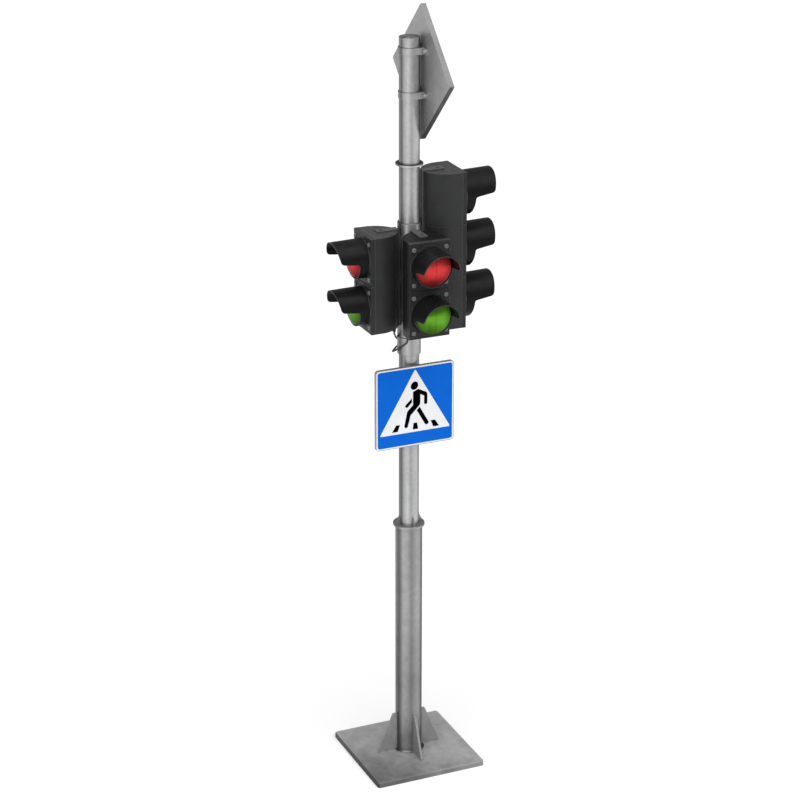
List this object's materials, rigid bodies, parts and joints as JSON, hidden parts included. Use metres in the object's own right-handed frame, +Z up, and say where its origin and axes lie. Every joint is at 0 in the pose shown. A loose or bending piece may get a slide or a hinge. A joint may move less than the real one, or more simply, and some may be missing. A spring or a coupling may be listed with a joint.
{
  "type": "pedestrian traffic light",
  "caption": "Steel signal post on a square foot plate with pedestrian and vehicle signal heads in visored housings, a crossing sign and a diamond priority sign.",
  "frame": {"origin": "centre of the foot plate's underside", "axes": "+Z up along the post; the front pedestrian head and the crossing sign face -Y, the side pedestrian head -X, the vehicle head and the priority sign +X"},
  "size_m": [0.8968, 0.7874, 4.2319],
  "materials": {
    "galvanised_foot": "matte hot-dip galvanised",
    "galvanised_mast": "matte hot-dip galvanised",
    "bracket_steel": "dark grey powder coat",
    "priority_sign": "printed front, plain grey back",
    "crossing_sign": "printed front, plain grey back",
    "clamp_steel": "galvanised strip",
    "fasteners": "zinc plated",
    "door_screws": "satin dark grey",
    "head_plastic": "fine-textured dark grey polycarbonate",
    "light_unit_plastic": "moulded",
    "lens_red": "clear moulded lens",
    "lens_amber": "clear moulded lens",
    "lens_green": "clear moulded lens",
    "gland_plastic": "black nylon",
    "grommet_rubber": "moulded",
    "cable_sheath": "smooth black sheath"
  },
  "bodies": {
    "post": {"adapter_flange": "galvanised_foot", "base_gussets": "galvanised_foot", "base_plate": "galvanised_foot", "bracket_front": "bracket_steel", "bracket_road": "bracket_steel", "bracket_side": "bracket_steel", "bracket_sleeve": "galvanised_mast", "cable_front": "cable_sheath", "cable_grommets": "grommet_rubber", "cable_side": "cable_sheath", "crossing_panel": "crossing_sign", "earth_wire": "cable_sheath", "lower_tube": "galvanised_foot", "mast_cap": "galvanised_mast", "mast_collar": "galvanised_mast", "mast_tube": "galvanised_mast", "priority_panel": "priority_sign", "sign_clamp_bands": "clamp_steel", "sign_clamp_saddles": "clamp_steel", "sign_clamp_studs": "fasteners"},
    "head_side": {"housing_side": "head_plastic", "led_modules_side": "light_unit_plastic", "hardware_side": "fasteners", "cable_gland_side": "gland_plastic"},
    "door_side_upper": {"door_side_upper": "head_plastic", "visor_side_upper": "head_plastic", "lens_side_upper": "lens_red", "screws_side_upper": "door_screws"},
    "door_side_lower": {"door_side_lower": "head_plastic", "visor_side_lower": "head_plastic", "lens_side_lower": "lens_green", "screws_side_lower": "door_screws"},
    "head_front": {"housing_front": "head_plastic", "led_modules_front": "light_unit_plastic", "hardware_front": "fasteners", "cable_gland_front": "gland_plastic"},
    "door_front_upper": {"door_front_upper": "head_plastic", "visor_front_upper": "head_plastic", "lens_front_upper": "lens_red", "screws_front_upper": "door_screws"},
    "door_front_lower": {"door_front_lower": "head_plastic", "visor_front_lower": "head_plastic", "lens_front_lower": "lens_green", "screws_front_lower": "door_screws"},
    "head_road": {"housing_road": "head_plastic", "led_modules_road": "light_unit_plastic", "hardware_road": "fasteners", "cable_gland_road": "gland_plastic"},
    "door_road_upper": {"door_road_upper": "head_plastic", "visor_road_upper": "head_plastic", "lens_road_upper": "lens_red", "screws_road_upper": "door_screws"},
    "door_road_middle": {"door_road_middle": "head_plastic", "visor_road_middle": "head_plastic", "lens_road_middle": "lens_amber", "screws_road_middle": "door_screws"},
    "door_road_lower": {"door_road_lower": "head_plastic", "visor_road_lower": "head_plastic", "lens_road_lower": "lens_green", "screws_road_lower": "door_screws"}
  },
  "joints": [
    {"name": "side_head_swivel", "type": "hinge", "parent": "post", "child": "head_side", "pos_m": [-0.16, 0, 2.551], "axis": [0, 0, 1], "range_deg": [-10, 10]},
    {"name": "side_upper_door_hinge", "type": "hinge", "parent": "head_side", "child": "door_side_upper", "pos_m": [-0.2395, 0.119, 2.93913], "axis": [0, 0, -1], "range_deg": [0, 100]},
    {"name": "side_lower_door_hinge", "type": "hinge", "parent": "head_side", "child": "door_side_lower", "pos_m": [-0.2395, 0.119, 2.68038], "axis": [0, 0, -1], "range_deg": [0, 100]},
    {"name": "front_head_swivel", "type": "hinge", "parent": "post", "child": "head_front", "pos_m": [0, -0.16, 2.551], "axis": [0, 0, 1], "range_deg": [-10, 10]},
    {"name": "front_upper_door_hinge", "type": "hinge", "parent": "head_front", "child": "door_front_upper", "pos_m": [0.119, -0.2395, 2.93913], "axis": [0, 0, 1], "range_deg": [0, 100]},
    {"name": "front_lower_door_hinge", "type": "hinge", "parent": "head_front", "child": "door_front_lower", "pos_m": [0.119, -0.2395, 2.68038], "axis": [0, 0, 1], "range_deg": [0, 100]},
    {"name": "road_head_swivel", "type": "hinge", "parent": "post", "child": "head_road", "pos_m": [0.16, 0, 2.5215], "axis": [0, 0, 1], "range_deg": [-10, 10]},
    {"name": "road_upper_door_hinge", "type": "hinge", "parent": "head_road", "child": "door_road_upper", "pos_m": [0.2484, 0.127, 3.224], "axis": [0, 0, 1], "range_deg": [0, 100]},
    {"name": "road_middle_door_hinge", "type": "hinge", "parent": "head_road", "child": "door_road_middle", "pos_m": [0.2484, 0.127, 2.943], "axis": [0, 0, 1], "range_deg": [0, 100]},
    {"name": "road_lower_door_hinge", "type": "hinge", "parent": "head_road", "child": "door_road_lower", "pos_m": [0.2484, 0.127, 2.662], "axis": [0, 0, 1], "range_deg": [0, 100]}
  ]
}
